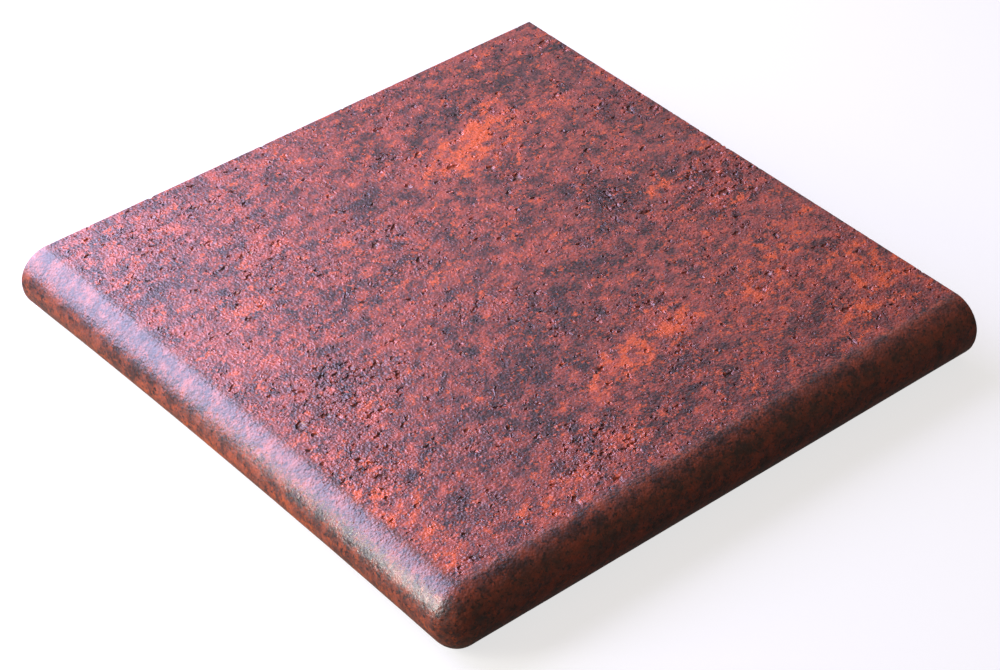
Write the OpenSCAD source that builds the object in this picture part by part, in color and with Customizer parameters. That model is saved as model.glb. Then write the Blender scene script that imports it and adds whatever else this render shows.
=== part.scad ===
// Corner stair tread tile: a square clay slab with a round nose along two
// adjoining edges. The noses curl down into a lip and meet in a round corner.
// The other two edges are cut square, to butt against the next tiles.
//
// The part stands on its two lips, with the origin below the middle of the
// square. The side nose runs along Y at -X, the front nose along X at -Y.

/* [Tread] */
// Overall size along X, from the side nose to the cut edge
tread_x = 330; // [250:1:420]
// Overall size along Y, from the front nose to the cut edge
tread_y = 330; // [250:1:420]
// Thickness of the slab behind the noses
slab_t = 15; // [10:0.5:20]

/* [Nose] */
// Height from the bottom of the lip to the top of the tread
nose_h = 35; // [29:0.5:45]
// Radius of the round over the top of the nose, in section and in plan
top_r = 15.5; // [12:0.5:19]
// Radius of the lip's round bottom edge, half of the lip's thickness
lip_r = 6.5; // [5:0.1:8]
// Distance from the front of the nose back to the middle of the lip
lip_set = 13; // [10:0.1:16]
// Radius of the fillet between the lip's back and the underside
fillet_r = 6; // [2:0.5:8]

/* [Hidden] */
$fn = 96;

// Height of the widest part of the nose, where the two front arcs meet
brow_z = nose_h - top_r;
// Height of the slab's underside, the face that beds in mortar
bed_z = nose_h - slab_t;
// Back face of the lip
lip_back = lip_set + lip_r;
// Drop from the brow to the middle of the lip's round
lip_drop = brow_z - lip_r;
// Radius of the arc under the brow. It leaves the brow upright and runs
// into the lip's round without a corner, which leaves only this radius.
under_r = (lip_set * lip_set + lip_drop * lip_drop - lip_r * lip_r)
          / (2 * (lip_set - lip_r));
// Direction from the middle of the under arc to the middle of the lip
curl = [lip_set - under_r, -lip_drop] / (under_r - lip_r);
// A fillet is never taller than the lip's flat back
back_r = min(fillet_r, bed_z - lip_r);
// Overhang that cutting shapes have past what they cut
over = 1;

// A rectangle given by two opposite corners
module box2(low, high) {
    translate(low) square(high - low);
}

// The quarter round over the top of the nose
module brow_round() {
    intersection() {
        translate([top_r, brow_z]) circle(top_r);
        box2([-over, brow_z], [top_r, nose_h + over]);
    }
}

// What hangs under the brow: the arc that curls back, down to the lip
module curl_part() {
    lip_mid = [lip_set, lip_r];
    outside = [under_r, brow_z] + curl * (under_r + over);
    intersection() {
        translate([under_r, brow_z]) circle(under_r);
        polygon([[-over, brow_z], [lip_back, brow_z], [lip_back, lip_r],
                 lip_mid, outside, [-over, outside.y]]);
    }
}

// The round bottom edge of the lip
module lip_round() {
    lip_mid = [lip_set, lip_r];
    outside = lip_mid + curl * (lip_r + over);
    intersection() {
        translate(lip_mid) circle(lip_r);
        polygon([lip_mid, outside, [outside.x, -over],
                 [lip_back + over, -over], [lip_back + over, lip_r]]);
    }
}

// The fillet in the corner behind the lip
module back_fillet() {
    difference() {
        box2([lip_back, bed_z - back_r], [lip_back + back_r, bed_z]);
        translate([lip_back + back_r, bed_z - back_r]) circle(back_r);
    }
}

// Section of a nose: X runs in from its front, Y is the height
module nose_section() {
    brow_round();
    box2([top_r, brow_z], [lip_back, nose_h]);
    curl_part();
    lip_round();
    back_fillet();
}

// A straight nose along Y, from the round corner to the cut end
module nose(end) {
    translate([0, end, 0])
        rotate([90, 0, 0])
            linear_extrude(end - top_r)
                nose_section();
}

// The round corner: the front part of the section, turned about the
// upright line through the middle of the corner's plan radius
module corner() {
    translate([top_r, top_r, 0])
        rotate([0, 0, 180])
            rotate_extrude(angle = 90)
                intersection() {
                    translate([top_r, 0]) mirror([1, 0]) nose_section();
                    box2([0, -over], [top_r + over, nose_h + over]);
                }
}

// The slab between the noses and the cut edges
module slab() {
    translate([top_r, top_r, bed_z])
        cube([tread_x - top_r, tread_y - top_r, slab_t]);
}

module corner_tread() {
    color([0.60, 0.38, 0.36])
        translate([-tread_x / 2, -tread_y / 2, 0])
            union() {
                slab();
                nose(tread_y);
                mirror([1, -1, 0]) nose(tread_x);
                corner();
            }
}

corner_tread();
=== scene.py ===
# %% [markdown]
# # Corner stair tread tile
# A corner tread is one piece of fired clay: a square slab whose two outer edges are rolled
# over into a nose, so that a foot meets a round and not an arris. This file dresses the packed
# solid: it builds the same shape as a fine mesh, roughens its top, and mixes a clay for it.
# The frame gives the side and the height, and the section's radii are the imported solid's.

import math

import bmesh
import bpy
import numpy as np
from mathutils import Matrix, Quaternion, Vector


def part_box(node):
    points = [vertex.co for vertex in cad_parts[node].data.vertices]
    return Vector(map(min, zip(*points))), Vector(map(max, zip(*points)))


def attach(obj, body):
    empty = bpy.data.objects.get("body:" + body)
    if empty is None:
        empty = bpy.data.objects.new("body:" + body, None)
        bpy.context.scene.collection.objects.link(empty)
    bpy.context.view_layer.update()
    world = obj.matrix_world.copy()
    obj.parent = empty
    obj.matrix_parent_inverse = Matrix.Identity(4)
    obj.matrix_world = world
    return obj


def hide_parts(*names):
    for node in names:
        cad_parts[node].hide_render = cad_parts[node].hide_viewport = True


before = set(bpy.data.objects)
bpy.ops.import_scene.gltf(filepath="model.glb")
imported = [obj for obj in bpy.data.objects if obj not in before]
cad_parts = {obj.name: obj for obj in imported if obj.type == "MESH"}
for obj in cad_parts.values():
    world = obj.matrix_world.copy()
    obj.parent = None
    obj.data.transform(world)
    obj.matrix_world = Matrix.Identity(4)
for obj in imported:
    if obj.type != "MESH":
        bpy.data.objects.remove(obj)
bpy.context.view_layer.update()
low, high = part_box("corner_tread")
scene = bpy.context.scene
MM = 0.001

# %% [markdown]
# ## Camera
# The tile is seen from above its round corner, with both noses in view. A long lens keeps the
# far edges nearly parallel, as a catalogue view has them.

# %% Camera
LENS_MM = 110.55
CAMERA_PLACE = Vector((-0.7652, -0.8917, 0.9415))
CAMERA_AIM = Vector((-0.0245, -0.0323, 0.035))
CAMERA_ROLL = math.radians(-0.38)

camera_data = bpy.data.cameras.new("camera")
camera_data.lens = LENS_MM
camera_data.sensor_width = 36
camera = bpy.data.objects.new("camera", camera_data)
scene.collection.objects.link(camera)
sight = CAMERA_AIM - CAMERA_PLACE
camera.rotation_mode = "QUATERNION"
camera.rotation_quaternion = (
    Quaternion(sight.normalized(), CAMERA_ROLL) @ sight.to_track_quat("-Z", "Y")
)
camera.location = CAMERA_PLACE
scene.camera = camera
print("camera", round(sight.length, 3), "m from the middle of the top")

# %% [markdown]
# ## Arithmetic on sockets
# A node tree is a formula drawn as boxes. It is easier to read as a formula, so this class
# wraps one socket and lets Python's own operators add the Math nodes. It serves shader trees
# and geometry trees alike, because both have the same Math, Mix and texture nodes. That matters
# here: the pits that dent the mesh and the pits whose painted shade darkens the clay are the same
# formula.


# %% A socket with operators
class Field:
    """One output of a node, with arithmetic that adds nodes to its tree."""

    def __init__(self, socket):
        self.socket = socket

    def node(self, kind, settings=None, inputs=None, output=0):
        made = self.socket.id_data.nodes.new(kind)
        for name, value in (settings or {}).items():
            setattr(made, name, value)
        for name, value in (inputs or {}).items():
            if isinstance(value, Field):
                self.socket.id_data.links.new(value.socket, made.inputs[name])
            elif isinstance(value, bpy.types.NodeSocket):
                self.socket.id_data.links.new(value, made.inputs[name])
            else:
                made.inputs[name].default_value = value
        return Field(made.outputs[output]) if made.outputs else None

    def output(self, name):
        return Field(self.socket.node.outputs[name])

    def is_vector(self):
        return self.socket.type in ("VECTOR", "RGBA")

    def maths(self, operation, *others):
        kind = "ShaderNodeVectorMath" if self.is_vector() else "ShaderNodeMath"
        return self.node(kind, {"operation": operation}, dict(enumerate((self, *others))))

    def __add__(self, other):
        return self.maths("ADD", other)

    def __sub__(self, other):
        return self.maths("SUBTRACT", other)

    def __mul__(self, other):
        both = isinstance(other, tuple) or isinstance(other, Field) and other.is_vector()
        if both or not self.is_vector():
            return self.maths("MULTIPLY", other)
        return self.node("ShaderNodeVectorMath", {"operation": "SCALE"}, {0: self, "Scale": other})

    def __truediv__(self, other):
        return self.maths("DIVIDE", other)

    def __neg__(self):
        return self * -1

    def __radd__(self, other):
        return self + other

    def __rmul__(self, other):
        return self * other

    def __rsub__(self, other):
        return -self + other

    def __rtruediv__(self, other):
        return self.maths("POWER", -1) * other

    def smooth(self, start, end):
        """0 up to start, 1 past end, with an easy slope between them."""
        return self.node(
            "ShaderNodeMapRange",
            {"interpolation_type": "SMOOTHSTEP"},
            {"Value": self, "From Min": start, "From Max": end},
        )

    def limit(self, least, most):
        return self.maths("MINIMUM", most).maths("MAXIMUM", least)

    def at_least(self, least):
        return self.maths("MAXIMUM", least)

    def length(self):
        return self.node("ShaderNodeVectorMath", {"operation": "LENGTH"}, {0: self}, "Value")

    def split(self):
        made = self.node("ShaderNodeSeparateXYZ", None, {0: self})
        return made, made.output("Y"), made.output("Z")

    def join(self, x, y, z):
        return self.node("ShaderNodeCombineXYZ", None, {0: x, 1: y, 2: z})


def noise(place, size, detail=2.0, roughness=0.5):
    """Cloudy noise, 0 to 1, whose blots are about size across. Place and size in one unit."""
    return place.node(
        "ShaderNodeTexNoise",
        {"noise_dimensions": "3D"},
        {"Vector": place, "Scale": 1 / size, "Detail": detail, "Roughness": roughness},
    )


def scatter(place, size, output="Color"):
    """Grains about size across: three random numbers for each, or how far off its middle is."""
    return place.node(
        "ShaderNodeTexVoronoi",
        {"voronoi_dimensions": "3D"},
        {"Vector": place, "Scale": 1 / size},
        output,
    )


print("operators ready")

# %% [markdown]
# ## Lamps and floor
# One large cool window does the work. It stands behind the left side: being near, it lights
# that side more than the other, draws a broad sheen along the side nose and leaves the front
# nose in shade. A small pale lamp low on the left carries the sheen further down the nose, and
# a faint one far behind the back corner lifts the part of the top that the window hardly
# reaches. The surroundings add a little warm light. The floor is plain and pale, and keeps the
# tile's shadow, but throws back little light on the noses' undersides.

# %% Lamps
LAMPS = (  # name, turn and height in degrees, distance, width and height in m, watts, colour
    ("window", 112, 34, 0.71, 0.82, 0.86, 18.0, (0.67, 0.66, 1.04)),
    ("low_light", 175, 21, 0.52, 0.14, 0.29, 2.2, (0.95, 0.95, 0.90)),
    ("far_window", 49, 30, 1.2, 0.8, 0.5, 1.1, (0.6, 0.8, 0.85)),
)
SURROUND_COLOUR = (1.0, 0.55, 0.35)
SURROUND_LEVEL = 0.2

for name, turn, rise, away, width, tall, watts, tint in LAMPS:
    lamp_data = bpy.data.lights.new(name, "AREA")
    lamp_data.shape = "RECTANGLE"
    lamp_data.size = width
    lamp_data.size_y = tall
    lamp_data.energy = watts
    lamp_data.color = tint
    lamp = bpy.data.objects.new(name, lamp_data)
    flat_away = away * math.cos(math.radians(rise))
    lamp.location = (
        flat_away * math.cos(math.radians(turn)),
        flat_away * math.sin(math.radians(turn)),
        away * math.sin(math.radians(rise)),
    )
    lamp.rotation_euler = (-lamp.location).to_track_quat("-Z", "Y").to_euler()
    lamp.visible_camera = False
    scene.collection.objects.link(lamp)
print(len(LAMPS), "lamps")

# %% Surroundings
WHITE = (1, 1, 1)
GLOSS_SHARE = 0.08  # at full strength the backdrop lays a pale fog over the clay


def white_for(tree):
    """1 where the camera looks, and a share of it in gloss and glass, which show it dimmed."""
    camera_ray = Field(tree.nodes.new("ShaderNodeLightPath").outputs["Is Camera Ray"])
    mirrored = camera_ray.output("Is Glossy Ray") + camera_ray.output("Is Transmission Ray")
    return (camera_ray + mirrored * GLOSS_SHARE).limit(0, 1)


world = bpy.data.worlds.new("surroundings")
world.use_nodes = True
scene.world = world
seen = white_for(world.node_tree)
glow = seen.node(
    "ShaderNodeBackground", None, {"Color": (*SURROUND_COLOUR, 1), "Strength": SURROUND_LEVEL}
)
backdrop = seen.node("ShaderNodeBackground", None, {"Color": (*WHITE, 1), "Strength": 1.0})
shown = seen.node("ShaderNodeMixShader", None, {0: seen, 1: glow, 2: backdrop})
world.node_tree.links.new(shown.socket, world.node_tree.nodes["World Output"].inputs["Surface"])
scene.view_settings.view_transform = "Standard"
print("gloss and glass see", GLOSS_SHARE, "of the backdrop")

# %% Floor
FLOOR_HALF = 3.0
FLOOR_GLOW = 0.72
FLOOR_DIFFUSE = (0.30, 0.30, 0.30)
FLOOR_BOUNCE = (0.14, 0.09, 0.05)

floor_mesh = bpy.data.meshes.new("floor")
corners = [(-1, -1), (1, -1), (1, 1), (-1, 1)]
floor_mesh.from_pydata([(FLOOR_HALF * x, FLOOR_HALF * y, 0) for x, y in corners], [], [(0, 1, 2, 3)])
floor = bpy.data.objects.new("floor", floor_mesh)
scene.collection.objects.link(floor)
floor_paint = bpy.data.materials.new("floor_paint")
floor_paint.use_nodes = True
floor_paint.node_tree.nodes.clear()
seen = white_for(floor_paint.node_tree)
lit = seen.node("ShaderNodeBsdfDiffuse", None, {"Color": (*FLOOR_DIFFUSE, 1)})
pale = seen.node("ShaderNodeEmission", None, {"Color": (*WHITE, 1), "Strength": FLOOR_GLOW})
bright = seen.node("ShaderNodeAddShader", None, {0: lit, 1: pale})
dull = seen.node("ShaderNodeBsdfDiffuse", None, {"Color": (*FLOOR_BOUNCE, 1)})
both = seen.node("ShaderNodeMixShader", None, {0: seen, 1: dull, 2: bright})
seen.node("ShaderNodeOutputMaterial", None, {"Surface": both})
floor_mesh.materials.append(floor_paint)
print("floor", 2 * FLOOR_HALF, "m wide")

# %% [markdown]
# ## The nose as a rolled sheet
# On the press, both noses and the round corner come from one tool: the flat top bends over,
# turns back under itself and ends in a small lip. So the mesh is made the same way. Geometry
# Nodes lay a flat grid and bend it: how far a point lies outside the crease says how far round
# the nose it goes. Where the two noses meet, the grid's square corner is bent into a fan, as
# a cloth is round a table's corner. Sculpting or bevelling a block would lose the even grid that
# the pits need.

# %% Sizes of the section
TOP_RADIUS = 15.5 * MM
LIP_RADIUS = 6.5 * MM
LIP_SET = 13.0 * MM
FILLET = 6.0 * MM
SLAB = 15.0 * MM
MESH_STEP = 0.5 * MM
FACED_FADE = 3.0 * MM  # the glaze thins out over the last of the lip

side = (high - low).x
height = high.z
BED = height - SLAB
lip_drop = height - TOP_RADIUS - LIP_RADIUS
under_radius = (LIP_SET**2 + lip_drop**2 - LIP_RADIUS**2) / (2 * (LIP_SET - LIP_RADIUS))
under_turn = math.atan2(lip_drop, under_radius - LIP_SET)
lip_end = math.acos((LIP_SET - TOP_RADIUS) / LIP_RADIUS)
top_arc = TOP_RADIUS * math.pi / 2
under_arc = under_radius * under_turn
reach = top_arc + under_arc + LIP_RADIUS * (lip_end - under_turn)
span = reach + side - TOP_RADIUS
lip_rise = LIP_RADIUS * (math.pi - lip_end)
wall_rise = height - SLAB - FILLET - LIP_RADIUS
inner = lip_rise + wall_rise + FILLET * math.pi / 2
print("nose is", round(reach / MM, 1), "mm round, under radius", round(under_radius / MM, 2), "mm")


# %% Trees with named inputs
def new_tree(name, sizes):
    """A geometry tree that takes a mesh and named numbers. Returns it and its inputs."""
    tree = bpy.data.node_groups.new(name, "GeometryNodeTree")
    tree.interface.new_socket("Geometry", in_out="OUTPUT", socket_type="NodeSocketGeometry")
    tree.interface.new_socket("Geometry", in_out="INPUT", socket_type="NodeSocketGeometry")
    for title in sizes:
        tree.interface.new_socket(title, in_out="INPUT", socket_type="NodeSocketFloat")
    start = tree.nodes.new("NodeGroupInput")
    return tree, {socket.name: Field(socket) for socket in start.outputs if socket.name}


def end_tree(shape, material):
    """Real geometry with its material, sent to the tree's output."""
    solid = shape.node("GeometryNodeRealizeInstances", None, {"Geometry": shape})
    dressed = solid.node("GeometryNodeSetMaterial", None, {"Geometry": solid, "Material": material})
    dressed.node("NodeGroupOutput", None, {"Geometry": dressed})


def grow(tree, sizes, mesh):
    """Run a tree on a mesh once and return what it makes as a plain mesh."""
    holder = bpy.data.objects.new(tree.name, mesh)
    scene.collection.objects.link(holder)
    modifier = holder.modifiers.new(tree.name, "NODES")
    modifier.node_group = tree
    for item in tree.interface.items_tree:
        if item.name in sizes:
            modifier[item.identifier] = float(sizes[item.name])
    depsgraph = bpy.context.evaluated_depsgraph_get()
    made = bpy.data.meshes.new_from_object(holder.evaluated_get(depsgraph), depsgraph=depsgraph)
    bpy.data.objects.remove(holder)
    return made


clay = bpy.data.materials.new("speckled_clay")
print("trees end in real geometry with", clay.name)

# %% Sheet and strips
SHELL_SIZES = {
    "Side": side,
    "Height": height,
    "Span": span,
    "Reach": reach,
    "Top radius": TOP_RADIUS,
    "Under radius": under_radius,
    "Under turn": under_turn,
    "Lip radius": LIP_RADIUS,
    "Lip set back": LIP_SET,
    "Lip end": lip_end,
    "Wall rise": wall_rise,
    "Fillet": FILLET,
    "Inner length": inner,
    "Step": MESH_STEP,
}


def flat_grid(size, across, along):
    """A flat grid and the distances of its points from its low corner."""
    columns = (across / size["Step"]).maths("ROUND") + 1
    rows = (along / size["Step"]).maths("ROUND") + 1
    sheet = across.node(
        "GeometryNodeMeshGrid",
        None,
        {"Size X": across, "Size Y": along, "Vertices X": columns, "Vertices Y": rows},
    )
    x, y, _ = sheet.node("GeometryNodeInputPosition").split()
    return sheet, x + across / 2, y + along / 2


def bent_sheet(size):
    """The top and both noses down to the turn of the lip, as one bent grid."""
    sheet, along_x, along_y = flat_grid(size, size["Span"], size["Span"])
    past_x = (size["Reach"] - along_x).at_least(0)
    past_y = (size["Reach"] - along_y).at_least(0)
    past = past_x.maths("MAXIMUM", past_y)
    wider = past_y.maths("GREATER_THAN", past_x)
    eighth = math.pi / 4
    turn = (1 - wider) * (past_y / past_x * eighth) + wider * (2 * eighth - past_x / past_y * eighth)

    top = (past / size["Top radius"]).limit(0, math.pi / 2)
    left = past - size["Top radius"] * (math.pi / 2)
    last = size["Under turn"]
    under = (left / size["Under radius"]).limit(0, last)
    lip = ((left - size["Under radius"] * last) / size["Lip radius"]).at_least(0) + last
    out = (
        size["Top radius"] * top.maths("SINE")
        - size["Under radius"] * (1 - under.maths("COSINE"))
        - size["Lip radius"] * (last.maths("COSINE") - lip.maths("COSINE"))
    )
    down = (
        size["Top radius"] * (1 - top.maths("COSINE"))
        + size["Under radius"] * under.maths("SINE")
        + size["Lip radius"] * (lip.maths("SINE") - last.maths("SINE"))
    )
    x = size["Top radius"] + (along_x - size["Reach"]).at_least(0) - out * turn.maths("COSINE")
    y = size["Top radius"] + (along_y - size["Reach"]).at_least(0) - out * turn.maths("SINE")
    place = x.join(x, y, size["Height"] - down)
    bent = x.node("GeometryNodeSetPosition", None, {"Geometry": sheet, "Position": place})
    faced = (size["Reach"] - past).smooth(0, FACED_FADE)
    return bent.node(
        "GeometryNodeStoreNamedAttribute",
        {"data_type": "FLOAT", "domain": "POINT"},
        {"Geometry": bent, "Name": "faced", "Value": faced},
    )


def inner_strip(size, turned):
    """The back of one lip: its end turns up into the wall, and a fillet leads to the bed."""
    sheet, across, along = flat_grid(size, size["Inner length"], size["Span"])
    run = size["Inner length"] - across
    lip_part = size["Lip radius"] * (math.pi - size["Lip end"])
    angle = size["Lip end"] + (run / size["Lip radius"]).limit(0, lip_part / size["Lip radius"])
    wall = (run - lip_part).limit(0, size["Wall rise"])
    bend = ((run - lip_part - size["Wall rise"]) / size["Fillet"]).limit(0, math.pi / 2)
    inward = (
        size["Lip set back"]
        - size["Lip radius"] * angle.maths("COSINE")
        + size["Fillet"] * (1 - bend.maths("COSINE"))
    )
    z = size["Lip radius"] * (1 - angle.maths("SINE")) + wall + size["Fillet"] * bend.maths("SINE")
    edge = (size["Top radius"] + (along - size["Reach"]).at_least(0)).maths("MAXIMUM", inward)
    place = edge.join(edge, inward, z) if turned else edge.join(inward, edge, z)
    strip = z.node("GeometryNodeSetPosition", None, {"Geometry": sheet, "Position": place})
    return strip.node("GeometryNodeFlipFaces", None, {"Mesh": strip}) if turned else strip


WELD_GAP = 1e-6
shell_tree, size = new_tree("tread_shell", SHELL_SIZES)
joined = size["Side"].node("GeometryNodeJoinGeometry")
for part in (inner_strip(size, True), inner_strip(size, False), bent_sheet(size)):
    shell_tree.links.new(part.socket, joined.socket.node.inputs["Geometry"])
welded = joined.node(
    "GeometryNodeMergeByDistance", None, {"Geometry": joined, "Distance": WELD_GAP}
)
half = size["Side"] * -0.5
centred = welded.node(
    "GeometryNodeTransform", None, {"Geometry": welded, "Translation": half.join(half, half, 0.0)}
)
end_tree(centred, clay)
shell = grow(shell_tree, SHELL_SIZES, bpy.data.meshes.new("empty"))
print("shell", len(shell.vertices), "points")

# %% [markdown]
# ## Pits, swell and worn edges
# The top is textured so that it grips a shoe: fine grain all over, and pits where grit tore
# the clay as it was pressed. Cloudy noise with a high threshold makes the pits: only its
# tallest blots reach it, and they have torn outlines, as the pits do. Two noises give two
# sizes. Where the press tore the clay worst the noise is lifted a little, so that pits crowd
# there. A round hollow for each point of a scatter would look drilled. The same formula dents
# the mesh and, in the clay, sharpens the dents that the mesh is too coarse for.
# The clay also swells a little here and there, and the cut edges have lost their sharpness.

# %% Height formulas, in millimetres
PIT_LAYERS = (  # size of the blots, how high one must stand to be a pit, what crowding adds
    (7.0, 0.655, 0.06),
    (3.8, 0.665, 0.1),
)
PIT_DEPTH = 0.7
PIT_WALL = 0.09  # how much higher than the threshold the noise stands at a pit's floor
PIT_RIM = 0.05
PIT_OUTLINE = (2.0, 0.55)  # detail and roughness: enough of both to tear the blots' outlines
PIT_SHIFT = (70, 30)  # each layer is moved aside by so many times its blots' size
CREASE = 15.5  # the flat of the top starts this far in from the outside of a nose
PITTED_FROM = 19.0
TORN_NOISE = (30.0, 1.0)
TORN_NOISE_SHIFT = (310.0, 120.0, 40.0)
TORN_NOISE_EDGE = (0.45, 0.7)
TORN_NOISE_SHARE = 0.5
TORN_PLACES = (  # middle from the tread's corner, how far the tearing spreads, how bad it is
    (52, 145, 40, 1.0),
    (34, 98, 32, 0.8),
    (125, 42, 32, 1.0),
    (312, 160, 44, 0.9),
    (300, 42, 40, 0.6),
    (90, 252, 30, 0.5),
    (60, 304, 32, 0.6),
    (150, 232, 28, 0.6),
    (252, 286, 28, 0.6),
    (258, 192, 38, 0.5),
    (318, 240, 30, 0.8),
)


def torn(flat):
    """How badly the press tore the clay at a place on the top: 0 hardly, 1 badly."""
    patches = noise(flat + TORN_NOISE_SHIFT, *TORN_NOISE)
    total = patches.smooth(*TORN_NOISE_EDGE) * TORN_NOISE_SHARE
    for x, y, spread, strength in TORN_PLACES:
        away = (flat - (x - side / MM / 2, y - side / MM / 2, 0.0)).length()
        total = total + away.smooth(spread, 0.0) * strength
    return total.limit(0, 1)


def pit_level(flat, crowd):
    """Over 0 inside a pit and a little under 0 on its rim."""
    highest = None
    for across, least, crowding in PIT_LAYERS:
        shift = (across * PIT_SHIFT[0], across * PIT_SHIFT[1], 0.0)
        blots = noise(flat + shift, across, *PIT_OUTLINE) - least
        level = blots + crowd * crowding
        highest = level if highest is None else highest.maths("MAXIMUM", level)
    return highest


def on_top(place, edge=CREASE, inside=PITTED_FROM):
    """1 on the flat of the top, 0 on the noses. Place in millimetres from the middle."""
    x, y, _ = place.split()
    half = side / MM / 2
    return (x + half).maths("MINIMUM", y + half).smooth(edge, inside)


print("pit layers", len(PIT_LAYERS))

# %% Press the relief into the shell
RELIEF_SIZES = {
    "Side": side,
    "Bow": 2.0 * MM,
    "Bow top": BED,
    "Bow foot": 6.0 * MM,
    "Bow inner end": -100.0 * MM,
    "Bow outer end": -140.0 * MM,
    "Swell size": 13.0 * MM,
    "Swell depth": 0.16 * MM,
    "Arris": 0.6 * MM,
    "Chip size": 5.0 * MM,
    "Pits": 1.0,
}

CHIP_EDGE = (0.5, 0.8)
CHIP_GROWTH = 1.5  # a full chip makes the worn edge wider by this many times its width
BOW_WAY = (0.65, 0.0, 0.75)  # towards the slab and up

relief_tree, size = new_tree("tread_relief", RELIEF_SIZES)
spot = size["Side"].node("GeometryNodeInputPosition")
place = spot * (1 / MM)
x, y, z = spot.split()
swell = noise(spot * (1 / size["Swell size"]), 1.0, 2.0) * size["Swell depth"]
chips = noise(spot * (1 / size["Chip size"]), 1.0, 3.0).smooth(*CHIP_EDGE)
arris = size["Arris"] * (chips * CHIP_GROWTH + 1)
missing = (arris - (size["Side"] * 0.5 - x.maths("MAXIMUM", y))).at_least(0)
worn = arris - (arris * arris - missing * missing).at_least(0).maths("SQRT")
flat = place * (1.0, 1.0, 0.0)
hollow = pit_level(flat, torn(flat)).smooth(0.0, PIT_WALL) * on_top(place)
dent = hollow * size["Pits"] * PIT_DEPTH * MM
middle = 1 - (2 * y / size["Side"]).maths("POWER", 2)
near_nose = x.smooth(size["Bow inner end"], size["Bow outer end"])
near_lip = z.smooth(size["Bow top"], size["Bow foot"]) * near_nose
bow = size["Bow"] * middle * near_lip
faced = spot.node("GeometryNodeInputNamedAttribute", {"data_type": "FLOAT"}, {"Name": "faced"})
sunk = (swell + worn + dent) * faced
normal = spot.node("GeometryNodeInputNormal")
offset = normal * -sunk + bow.join(*(bow * share for share in BOW_WAY))
pressed = spot.node(
    "GeometryNodeSetPosition", None, {"Geometry": size["Geometry"], "Offset": offset}
)
end_tree(pressed, clay)
rough_shell = grow(relief_tree, RELIEF_SIZES, shell)
print("relief pressed into", len(rough_shell.vertices), "points")

# %% [markdown]
# ## Cut ends and bed
# Two edges of the tile are cut square, and its bed is the flat back that lies in the mortar.
# The bent sheet is still open there. Its rim is one closed path, so each flat side is filled
# with one face along its own stretch of the rim, and the three share the far lower corner. A
# boolean cut through a longer sheet would do too, but it is slow on so fine a mesh and may
# leave slivers.

# %% Close the ends and the bed
TOUCHING = 1e-5

form = bmesh.new()
form.from_mesh(rough_shell)
rim = [edge for edge in form.edges if edge.is_boundary]
follow = {}
for edge in rim:
    loop = edge.link_loops[0]
    follow[loop.link_loop_next.vert] = loop.vert
path = [next(iter(follow))]
while len(path) < len(follow):
    path.append(follow[path[-1]])
far_corner = form.verts.new((side / 2, side / 2, BED))


def on_end(vertex, axis):
    return abs(vertex.co[axis] - side / 2) < TOUCHING


def on_bed(vertex):
    return abs(vertex.co.z - BED) < TOUCHING


def close(is_on):
    """Fill one flat side: the stretch of the rim that lies on it, and the far lower corner."""
    count = len(path)
    inside = [is_on(vertex) for vertex in path]
    first = next(i for i in range(count) if inside[i] and not inside[i - 1])
    run = []
    for step in range(count):
        if not inside[(first + step) % count]:
            break
        run.append(path[(first + step) % count])
    return form.faces.new(run + [far_corner])


caps = [
    close(lambda vertex: on_end(vertex, 0)),
    close(lambda vertex: on_end(vertex, 1)),
    close(on_bed),
]
for cap in caps:
    cap.normal_update()
bmesh.ops.triangulate(form, faces=caps)
form.normal_update()
loose = sum(not edge.is_manifold for edge in form.edges)
form.to_mesh(rough_shell)
print("closed tread", round(form.calc_volume() / MM**3), "cubic mm,", loose, "open edges")
form.free()

# %% [markdown]
# ## Fewer triangles
# The grid is fine enough for the smallest pit, and the smooth clay between the pits doesn't
# need it. Decimate takes points away where the surface is flattest. A coarser grid would blunt
# the pits as well. The vertex group leaves out the points on the flat sides, so that their
# edges stay straight, and those sides are shaded flat, because they meet the rest at an edge.

# %% Thin the smooth parts
MOST_TRIANGLES = 188000
SHARP_FROM = math.radians(55)
SQUARE_ON = 0.9999  # the least that a flat side's face may look along its own axis

tread = bpy.data.objects.new("tread", rough_shell)
scene.collection.objects.link(tread)
triangles = sum(len(face.vertices) - 2 for face in rough_shell.polygons)
moulded = [
    point.index
    for point in rough_shell.vertices
    if not (on_end(point, 0) or on_end(point, 1) or on_bed(point))
]
tread.vertex_groups.new(name="moulded").add(moulded, 1, "ADD")
thin = tread.modifiers.new("thin", "DECIMATE")
thin.vertex_group = "moulded"
thin.ratio = MOST_TRIANGLES / triangles
thin.use_collapse_triangulate = True
depsgraph = bpy.context.evaluated_depsgraph_get()
thinned = bpy.data.meshes.new_from_object(tread.evaluated_get(depsgraph), depsgraph=depsgraph)
tread.modifiers.clear()
tread.vertex_groups.clear()
tread.data = thinned
thinned.name = "tread"
thinned.shade_smooth()
thinned.set_sharp_from_angle(angle=SHARP_FROM)


def on_flat_side(face):
    """Whether a face lies on a cut end or on the bed, which stay flat right up to their edges."""
    x, y, z = face.center
    on_x = face.normal.x > SQUARE_ON and side / 2 - x < TOUCHING
    on_y = face.normal.y > SQUARE_ON and side / 2 - y < TOUCHING
    return on_x or on_y or (face.normal.z < -SQUARE_ON and abs(z - BED) < TOUCHING)


flat_faces = [face for face in thinned.polygons if on_flat_side(face)]
for face in flat_faces:
    face.use_smooth = False
print("from", triangles, "to", len(thinned.polygons), "triangles,", len(flat_faces), "of them flat")

# %% [markdown]
# ## Unrolling the surface
# Two things need to know where a point lies on the sheet before it was bent: the clay, whose
# stains run on from the top over the noses, and the map that an exported copy is painted
# through. So the bend is undone here: each point's angle round the nose gives its distance
# from the crease again. An automatic unwrap would do for the map, but it cuts the noses into
# strips, and the stains need the same numbers anyway.


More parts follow.
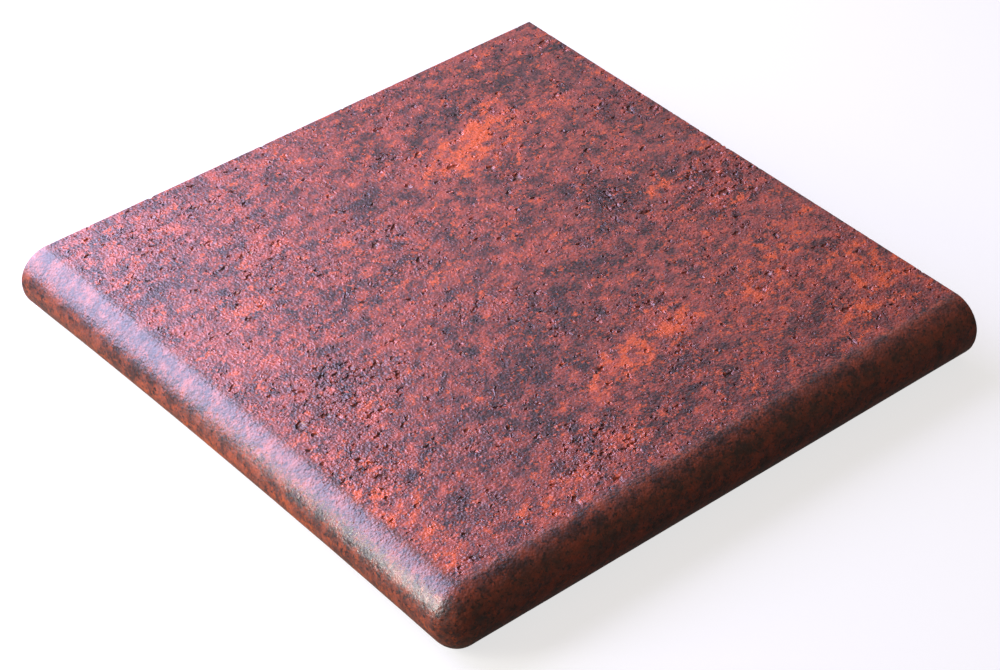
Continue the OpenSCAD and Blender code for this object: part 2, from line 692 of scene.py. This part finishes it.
# %% Undo the bend
POLE_RADIUS = 0.6  # in mm: so near the middle of the corner's fan a point has no turn of its own
POLE_HEIGHT = 3.0


def unroll(points, turns=None):
    """Distances in mm from the sheet's low corner. Points are in mm from the tread's corner."""
    out_x = TOP_RADIUS / MM - points[:, 0]
    out_y = TOP_RADIUS / MM - points[:, 1]
    z = points[:, 2]
    fan = (out_x > 0) & (out_y > 0)
    side_nose = out_x >= out_y
    out = np.where(fan, np.hypot(out_x, out_y), np.maximum(out_x, out_y))
    turn = np.arctan2(out_y.clip(0), out_x.clip(0))
    turn = np.where(fan, turn, np.where(side_nose, 0, math.pi / 2))
    if turns is not None:
        turn = np.where(fan & (out < POLE_RADIUS) & (z < POLE_HEIGHT), turns, turn)
    centre_z = (height - TOP_RADIUS) / MM
    above = z > centre_z
    top = np.arctan2(out.clip(0), (z - centre_z).clip(1e-6))
    under = np.arctan2(centre_z - z, out - (TOP_RADIUS - under_radius) / MM)
    lip = np.arctan2(LIP_RADIUS / MM - z, out - (TOP_RADIUS - LIP_SET) / MM)
    lip = np.where(lip < -math.pi / 2, lip + 2 * math.pi, lip)
    past = np.where(
        above,
        TOP_RADIUS * top,
        np.where(
            under < under_turn,
            top_arc + under_radius * under,
            top_arc + under_arc + LIP_RADIUS * (lip - under_turn),
        ),
    ) / MM
    eighth = math.pi / 4
    wide = turn > eighth
    past_x = past * np.where(wide, (2 * eighth - turn) / eighth, 1)
    past_y = past * np.where(wide, 1, turn / eighth)
    flat_x = np.where(above | ~side_nose, (-out_x).clip(0), 0)
    flat_y = np.where(above | side_nose, (-out_y).clip(0), 0)
    return reach / MM - past_x + flat_x, reach / MM - past_y + flat_y


points = np.empty(len(thinned.vertices) * 3, np.float32)
thinned.vertices.foreach_get("co", points)
points = points.reshape(-1, 3).astype(float) / MM + (side / MM / 2, side / MM / 2, 0)
along_x, along_y = unroll(points)
print("sheet", round(float(along_x.max()), 1), "by", round(float(along_y.max()), 1), "mm")

# %% A map that keeps each side whole
MAP_SIZE = 1024.0  # all these are in one unit, and the map is this many of it on a side
GUTTER = 8.0
SHEET_WIDTH = 752.0
SHEET_SCALE = SHEET_WIDTH / (span / MM)
BED_CORNER = 776.0
BED_SCALE = 0.68
BED_MARGIN = 6.0  # the fillet and the lip's back are folded out round the bed
FOLD_SPREAD = 60.0
END_COLUMNS = ((0, 780.0), (1, 868.0))
FACE_SLACK = 0.3
END_SLACK = 0.02
END_FACING = 0.98

loops = np.empty(len(thinned.loops), np.int32)
thinned.loops.foreach_get("vertex_index", loops)
centres = np.empty(len(thinned.polygons) * 3, np.float32)
thinned.polygons.foreach_get("center", centres)
centres = centres.reshape(-1, 3).astype(float) / MM + (side / MM / 2, side / MM / 2, 0)
normals = np.empty(len(thinned.polygons) * 3, np.float32)
thinned.polygons.foreach_get("normal", normals)
normals = np.repeat(normals.reshape(-1, 3), 3, axis=0)
middle = np.repeat(centres, 3, axis=0)
corner = points[loops]

turns = np.arctan2((CREASE - middle[:, 1]).clip(0), (CREASE - middle[:, 0]).clip(0))
sheet_x, sheet_y = unroll(corner, turns)
map_x = GUTTER + sheet_x * SHEET_SCALE
map_y = GUTTER + sheet_y * SHEET_SCALE

nearer = middle[:, :2].min(axis=1)
bed = (nearer > TOP_RADIUS / MM) & (middle[:, 2] < BED / MM + FACE_SLACK)
drop = (BED / MM - corner[:, 2]).clip(0)
apart = corner[:, 0] - corner[:, 1]
bed_x = corner[:, 0] - drop * (1 - apart / FOLD_SPREAD).clip(0, 1)
bed_y = corner[:, 1] - drop * (1 + apart / FOLD_SPREAD).clip(0, 1)
map_x = np.where(bed, BED_CORNER + (bed_x + BED_MARGIN) * BED_SCALE, map_x)
map_y = np.where(bed, BED_CORNER + (bed_y + BED_MARGIN) * BED_SCALE, map_y)

for axis, first in END_COLUMNS:
    end = (normals[:, axis] > END_FACING) & (middle[:, axis] > side / MM - END_SLACK)
    map_x = np.where(end, first + corner[:, 2] * SHEET_SCALE, map_x)
    map_y = np.where(end, GUTTER + corner[:, 1 - axis] * SHEET_SCALE, map_y)

places = np.stack([map_x, map_y], 1).clip(1, MAP_SIZE - 1) / MAP_SIZE
chart = thinned.uv_layers.new(name="OFBake")
chart.data.foreach_set("uv", places.ravel().astype(np.float32))
print("map reaches", round(float(map_x.max())), "by", round(float(map_y.max())), "of", MAP_SIZE)

# %% [markdown]
# ## Where the clays lie
# The clay is not painted. Slips of red, orange and slate clay are thrown together and pressed, so
# large stains are scattered without order, long in the direction of pressing. Noise alone
# makes an even mixture, which looks like cloth. So a few large stains are placed on the
# unrolled sheet, and only lean the noise one way or the other: they are stored on the points
# as two numbers that the material reads.

# %% Stains
# Each stain: its middle from the crease, along the front nose and along the side nose, its
# length and width, all in mm, and how strong it is. A middle below 0 lies on a nose.
STAIN_TILT = math.radians(14)
STAIN_FALL = 0.7  # leaves half of a stain's strength at its own outline
STAIN_MOST = 1.2
ORANGE_STAINS = (
    (210, 244, 50, 26, 1.0),
    (234, 255, 34, 12, 0.7),
    (250, 272, 26, 10, 0.5),
    (272, 246, 22, 14, 0.45),
    (262, 156, 26, 12, 0.6),
    (278, 130, 14, 10, 0.5),
    (46, 210, 26, 12, 0.6),
    (8, 60, 26, 50, 0.7),
    (4, 20, 24, 22, 0.5),
    (68, 14, 32, 12, 0.6),
    (120, 22, 26, 12, 0.6),
    (168, 68, 44, 16, 0.8),
    (196, 70, 26, 12, 0.6),
    (244, 60, 40, 16, 0.6),
    (276, 84, 50, 16, 0.55),
    (300, 56, 36, 20, 0.6),
    (286, 28, 60, 22, 0.6),
    (130, 60, 40, 12, 0.3),
    (112, 226, 18, 9, 0.5),
    (126, 168, 34, 14, 0.35),
    (-30, 180, 14, 200, 0.6),
    (-30, 60, 12, 90, 0.4),
)
SLATE_STAINS = (
    (218, 270, 46, 15, 1.0),
    (136, 238, 40, 16, 0.9),
    (276, 276, 60, 30, 0.6),
    (300, 218, 24, 50, 0.5),
    (22, 250, 34, 14, 0.9),
    (64, 254, 20, 12, 0.6),
    (204, 218, 20, 12, 0.8),
    (238, 168, 38, 30, 0.7),
    (282, 166, 26, 14, 0.5),
    (172, 124, 64, 18, 0.9),
    (124, 88, 74, 20, 0.9),
    (118, 134, 30, 14, 0.6),
    (94, 52, 36, 16, 0.6),
    (28, 38, 30, 16, 0.6),
    (172, 38, 46, 20, 0.5),
    (248, 32, 40, 16, 0.6),
    (48, 146, 30, 24, 0.5),
    (76, 190, 30, 14, 0.4),
    (60, 50, 150, 110, 0.15),
    (150, -8, 120, 14, 0.3),
    (200, -26, 70, 20, 0.4),
    (-14, 230, 18, 90, 0.7),
    (-14, 60, 16, 90, 0.5),
)


def lean(stains):
    """How strongly the stains pull at each point of the tread, from 0 where none lies."""
    total = np.zeros(len(points))
    for middle_x, middle_y, long, wide, strength in stains:
        off_x = along_x - reach / MM - middle_x
        off_y = along_y - reach / MM - middle_y
        tilt = STAIN_TILT if min(middle_x, middle_y) > 0 else 0
        down_run = off_x * math.cos(tilt) + off_y * math.sin(tilt)
        across_run = off_y * math.cos(tilt) - off_x * math.sin(tilt)
        near = (2 * down_run / long) ** 2 + (2 * across_run / wide) ** 2
        total += strength * np.exp(-STAIN_FALL * near)
    return total.clip(0, STAIN_MOST)


for name, stains in (("orange_lean", ORANGE_STAINS), ("slate_lean", SLATE_STAINS)):
    layer = thinned.attributes.new(name, "FLOAT", "POINT")
    layer.data.foreach_set("value", lean(stains).astype(np.float32))
    print(name, len(stains), "stains")

# %% [markdown]
# ## The clay
# Three clays show: a dull red that the others are mixed into, orange where it is purest, and
# slate where ash and manganese stained it. Each is a threshold on layered noise, so that its
# edges break up into ever smaller islands, as they do where two clays are torn and not stirred.
# Specks and single grains of sand, finer than the noise, lie on top of that.
# A painted picture wrapped round the part would look right from one side only; formulas of the
# place in the clay carry on round the noses and into the pits. The face is lightly salt glazed:
# a thin coat shines on the noses, and hardly any of it is left on the sandy top. The cut ends
# and the bed are bare clay.


# %% Colours as they look, 0 to 255
def seen_colour(red, green, blue):
    """A colour as it looks on a screen, turned into the amounts of light a shader needs."""
    parts = [value / 255 for value in (red, green, blue)]
    return (*[part / 12.92 if part < 0.04 else ((part + 0.055) / 1.055) ** 2.4 for part in parts], 1)


RED = seen_colour(176, 79, 62)
BROWN = seen_colour(98, 56, 56)
ORANGE = seen_colour(212, 90, 46)
SOOT = seen_colour(38, 24, 32)
SPECK = seen_colour(20, 16, 26)
RAW = seen_colour(166, 92, 70)
# painted shade: a darker red-brown laid into the floors of the pits, where shade falls
PIT_SHADE = seen_colour(104, 46, 34)
ROLLED_TINT = (0.7, 0.82, 0.66)  # the glazed noses are darker than the top


def mix(amount, first, second):
    """First where the amount is 0, second where it is 1."""
    return amount.node("ShaderNodeMix", {"data_type": "RGBA"}, {0: amount, 6: first, 7: second}, 2)


print("the red clay throws back", [round(share, 3) for share in RED[:3]], "of the light")

# %% Read the place
CUT_FADE = (0.08, 0.02)  # how far inside a cut end the skin starts to go, and is gone, in mm
SKIN_FADE = (0.1, 0.5)
GLAZED_TO = 13.5  # the coat of the noses reaches this far in, and fades over the crease


def read(attribute):
    """A number that is stored on the mesh's points."""
    return place.node("ShaderNodeAttribute", {"attribute_name": attribute}, None, "Fac")


clay.use_nodes = True
nodes = clay.node_tree.nodes
nodes.clear()
place = Field(nodes.new("ShaderNodeTexCoord").outputs["Object"]) * (1 / MM)
orange_lean = read("orange_lean")
slate_lean = read("slate_lean")
x, y, level = place.split()
half = side / MM / 2
cut = x.maths("MAXIMUM", y).smooth(half - CUT_FADE[0], half - CUT_FADE[1])
skin = read("faced").smooth(*SKIN_FADE) * (1 - cut)
top = on_top(place) * skin
rolled = 1 - on_top(place, GLAZED_TO)

flat = place * (1.0, 1.0, 0.0)
crowd = torn(flat)
pit = pit_level(flat, crowd)
hollow = pit.smooth(0.0, PIT_WALL) * top
rim = pit.smooth(-PIT_RIM, 0.0) * pit.smooth(PIT_RIM, 0.0) * top
print("place read with", len(nodes), "nodes")

# %% Blots, specks and sand
# Each noise is moved aside by its own distance, so that no two of them are alike.
STREAK_TURN = -0.3
STREAK_STRETCH = (0.7, 1.0, 0.9)
BROAD_NOISE = (40.0, 2.0)  # size in mm, detail and roughness
SLATE_NOISE = (7.0, 4.0, 0.67)
ORANGE_NOISE = (6.5, 4.0, 0.68)
TONE_NOISE = (5.0, 4.0, 0.67)
RAW_NOISE = (4.0, 4.0, 0.6)
DARK_SPECK_NOISE = (1.8, 1.0, 0.6)
BRIGHT_SPECK_NOISE = (2.0, 1.0, 0.6)
SAND_GRAIN = 0.9

turned = place.node(
    "ShaderNodeVectorRotate", {"rotation_type": "Z_AXIS"}, {"Vector": place, "Angle": STREAK_TURN}
)
streak = turned * STREAK_STRETCH
broad = noise(streak + (50.0, 0.0, 0.0), *BROAD_NOISE) - 0.5
slate_blots = noise(streak, *SLATE_NOISE) - 0.5
orange_blots = noise(streak + (0.0, 400.0, 0.0), *ORANGE_NOISE) - 0.5
tone_blots = noise(streak + (0.0, 0.0, 800.0), *TONE_NOISE) - 0.5
raw_blots = noise(place, *RAW_NOISE)
dark_grains = noise(place + (0.0, 0.0, 300.0), *DARK_SPECK_NOISE)
bright_grains = noise(place + (0.0, 0.0, 500.0), *BRIGHT_SPECK_NOISE)
tone_sand, slate_sand, orange_sand = scatter(place, SAND_GRAIN).split()
print("blots, specks and sand made with", len(nodes), "nodes")

# %% Add up what decides each clay
# The blots decide most. Sand roughens their edges, and the stains lean them one way or the other.
tone = (
    tone_blots
    + (tone_sand - 0.5) * 0.1
    + broad * 0.18
    + orange_lean * 0.04
    - slate_lean * 0.04
)
slate_level = (
    slate_blots
    + (slate_sand - 0.5) * 0.12
    + broad * 0.15
    + slate_lean * 0.12
    - orange_lean * 0.09
)
orange_level = (
    orange_blots
    + (orange_sand - 0.5) * 0.08
    + orange_lean * 0.2
    - slate_lean * 0.06
)
dark_specks = dark_grains + slate_level * 0.5
bright_specks = bright_grains + orange_level * 0.6
print("clays weighed with", len(nodes), "nodes")

# %% Mix the clay
TONE_EDGE = (-0.22, 0.22)  # where each threshold starts and where it is passed
SLATE_EDGE = (-0.1, 0.18)
ORANGE_EDGE = (0.07, 0.24)
RAW_EDGE = (0.3, 0.7)
DARK_SPECK_EDGE = (0.57, 0.68)
BRIGHT_SPECK_EDGE = (0.6, 0.74)
ORANGE_THINS = (14.0, 26.0)  # the heights in mm between which a nose's orange thins out

fewer = 1 - rolled * level.smooth(*ORANGE_THINS) * 0.7
colour = mix(tone.smooth(*TONE_EDGE), BROWN, RED)
colour = mix(slate_level.smooth(*SLATE_EDGE) * 0.82, colour, SOOT)
colour = mix(orange_level.smooth(*ORANGE_EDGE) * 0.9 * fewer, colour, ORANGE)
colour = mix(dark_specks.smooth(*DARK_SPECK_EDGE) * 0.85, colour, SPECK)
colour = mix(bright_specks.smooth(*BRIGHT_SPECK_EDGE) * 0.6 * fewer, colour, ORANGE)
colour = mix(rolled, colour, colour * ROLLED_TINT)
# painted shade: the floors of the pits are darkened a little, most where they are deepest
colour = mix(hollow * 0.1, colour, PIT_SHADE)
raw = mix(raw_blots.smooth(*RAW_EDGE) * 0.3, RAW, BROWN)
colour = mix(skin, raw, colour)
print("colours mixed with", len(nodes), "nodes")

# %% Sheen and grain
LUMP_NOISE = (2.2, 1.0, 0.5)
LUMP_EDGE = (0.3, 0.65)
GRIT_SIZE = 1.3
SANDY_HEIGHTS = (14.0, 34.0)  # the noses are smooth low down and sandy near the top, in mm
GLAZE_INDEX = 1.62
COAT_ROUGHNESS = 0.3
ROUGHNESS_RANGE = (0.2, 0.95)

sandy = level.smooth(*SANDY_HEIGHTS) * 0.7 + 0.3
lumps = noise(place, *LUMP_NOISE)
grit = scatter(place, GRIT_SIZE, "Distance") * -0.3
grain = (lumps * 0.42 + grit) * sandy * (crowd * 0.5 + 0.6) * (skin * 0.7 + 0.3)
relief = grain - hollow * 0.55 + rim * 0.16
roughness = (
    0.4
    - top * 0.04
    + (slate_sand - 0.5) * 0.25
    + (1 - skin) * 0.3
    - (hollow + rim) * 0.22
)
glaze = rolled * skin * (lumps.smooth(*LUMP_EDGE) * 0.25 + slate_sand * 0.4)
bump = relief.node("ShaderNodeBump", None, {"Strength": 1.0, "Distance": MM, "Height": relief})
shader = colour.node(
    "ShaderNodeBsdfPrincipled",
    None,
    {
        "Base Color": colour,
        "Roughness": roughness.limit(*ROUGHNESS_RANGE),
        "Normal": bump,
        "IOR": GLAZE_INDEX,
        "Coat Weight": glaze + hollow * 0.5,
        "Coat Roughness": COAT_ROUGHNESS,
    },
)
shader.node("ShaderNodeOutputMaterial", None, {"Surface": shader})
print("clay has", len(nodes), "nodes")

# %% [markdown]
# ## Hand over
# The mesh stands for the imported solid, which stays behind it for collision, and takes its
# finish from the fired clay. Nothing on the tile moves, so it rides on the one body there is.

# %% Hand over
thinned.materials.clear()
thinned.materials.append(clay)
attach(tread, "root")
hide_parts("corner_tread")
print("handed over", tread.name, "with", len(thinned.polygons), "triangles")
